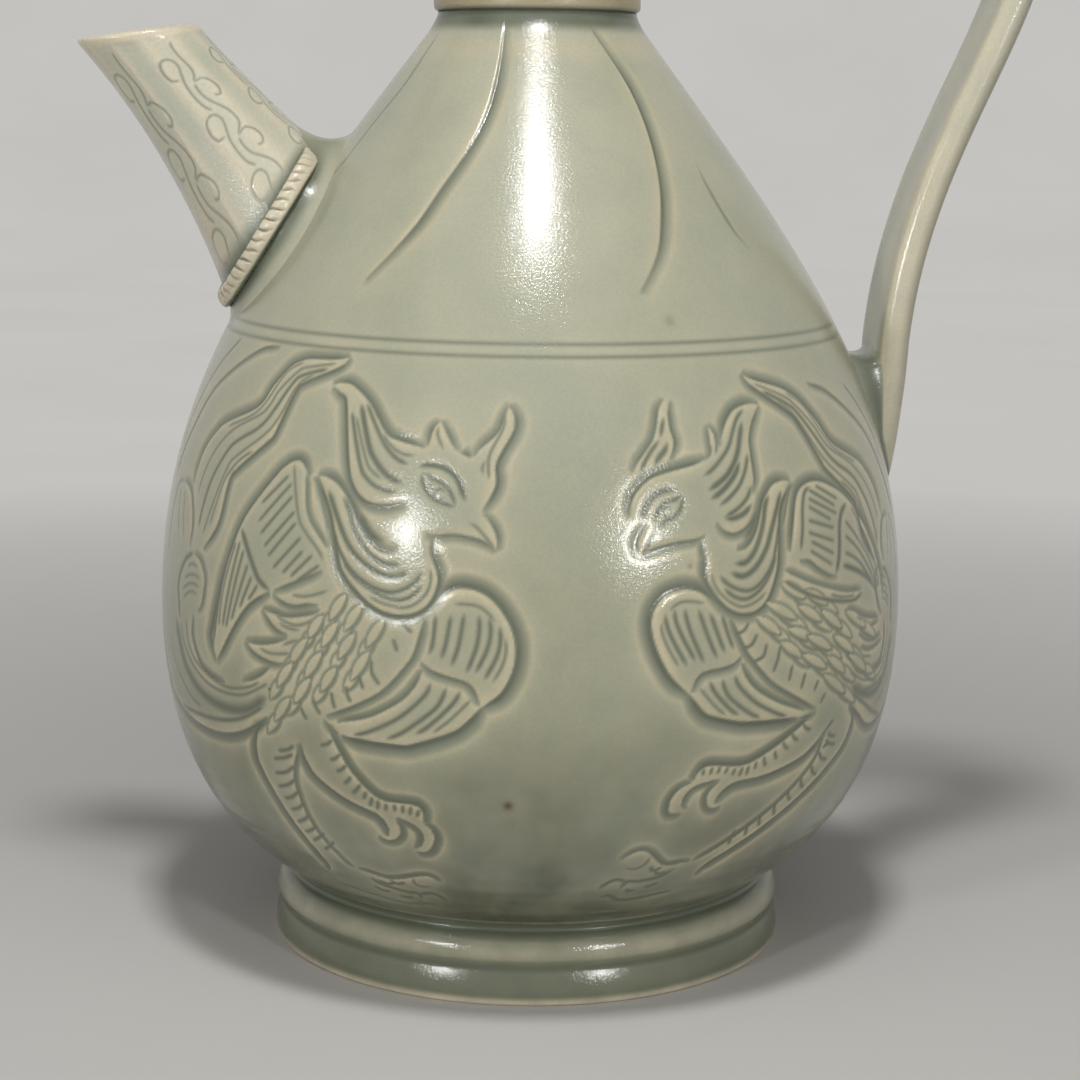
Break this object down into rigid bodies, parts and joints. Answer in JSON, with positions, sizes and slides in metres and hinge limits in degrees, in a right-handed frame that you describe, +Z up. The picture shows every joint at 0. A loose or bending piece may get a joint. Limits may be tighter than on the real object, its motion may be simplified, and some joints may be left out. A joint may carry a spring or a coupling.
{
  "type": "ewer",
  "caption": "Pear-shaped celadon ewer with a carved belly, short faceted spout, strap handle, trumpet mouth and turned foot ring.",
  "frame": {"origin": "on the ground under the middle of the object's box; the vessel's own axis stands at x = -6.37 mm", "axes": "+Z up, the spout points along -X, the handle along +X, and -Y faces the viewer between the facing birds of the front"},
  "size_m": [0.1902, 0.1484, 0.25],
  "materials": {
    "body_glaze": "satin green-grey celadon glaze",
    "foot_glaze": "satin celadon glaze, pooled in the grooves and thin at the edge",
    "thin_glaze": "glaze worn thin over pale clay",
    "spout_glaze": "satin celadon glaze, cream along the ridges",
    "handle_glaze": "satin celadon glaze, cream along the edges",
    "pooled_glaze": "thick pooled celadon glaze, glossy"
  },
  "bodies": {
    "root": {"body": "body_glaze", "foot_ring": "foot_glaze", "neck_collar": "thin_glaze", "neck_and_mouth": "body_glaze", "spout": "spout_glaze", "spout_root": "pooled_glaze", "spout_rope": "thin_glaze", "handle_strap": "handle_glaze", "handle_lower_root": "pooled_glaze", "handle_upper_root": "pooled_glaze"}
  },
  "joints": []
}
